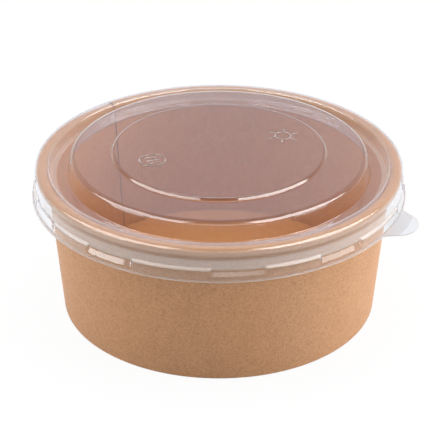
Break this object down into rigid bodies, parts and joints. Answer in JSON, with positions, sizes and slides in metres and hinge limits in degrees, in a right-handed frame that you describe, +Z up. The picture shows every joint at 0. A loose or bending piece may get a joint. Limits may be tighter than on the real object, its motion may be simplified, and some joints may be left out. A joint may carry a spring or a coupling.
{
  "type": "kraft paper bowl",
  "caption": "Round kraft paper food bowl with a tapered wall, rolled rim and recessed floor, closed by a clear domed press-on lid with a pull tab.",
  "frame": {"origin": "on the bowl's axis, in the plane of the table that it stands on", "axes": "+Z up along the bowl's axis, -Y towards the front; the pull tab is front right, at 336 degrees from +X"},
  "size_m": [0.1725, 0.1696, 0.0761],
  "materials": {
    "kraft_board": "matte natural kraft board with fine fibre specks",
    "kraft_floor": "kraft board with a thin coated face",
    "clear_sheet": "clear thermoformed sheet, glossy"
  },
  "bodies": {
    "bowl": {"side_wall": "kraft_board", "base_disc": "kraft_floor"},
    "lid": {"lid": "clear_sheet"}
  },
  "joints": [
    {"name": "lid_lift", "type": "slide", "parent": "bowl", "child": "lid", "axis": [0, 0, 1], "range_m": [0, 0.05]}
  ]
}
